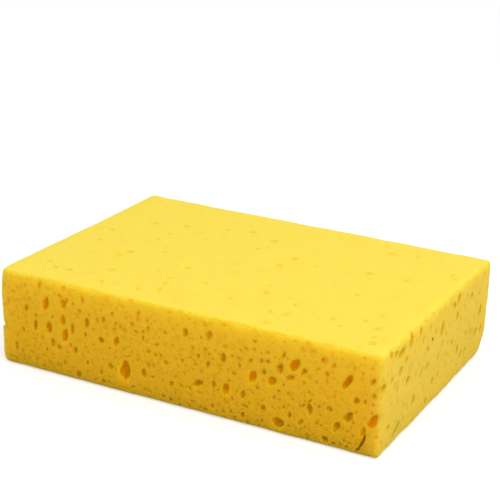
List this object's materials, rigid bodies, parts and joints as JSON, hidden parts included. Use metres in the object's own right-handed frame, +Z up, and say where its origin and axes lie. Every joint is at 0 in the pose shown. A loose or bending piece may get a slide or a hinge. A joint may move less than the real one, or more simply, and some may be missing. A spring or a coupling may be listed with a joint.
{
  "type": "cleaning sponge",
  "caption": "Rectangular block of yellow cellulose foam with rounded edges and open pores, for wiping and scrubbing wet surfaces.",
  "frame": {"origin": "middle of the underside, at the bottom centre of the bounding box", "axes": "+X along the length, +Y across the width towards the back, +Z up through the thickness; the side with the placed large pores faces -Y"},
  "size_m": [0.19, 0.134, 0.0465],
  "materials": {
    "cellulose_foam": "matt, open-pored, slightly soft"
  },
  "bodies": {
    "root": {"sponge": "cellulose_foam"}
  },
  "joints": []
}
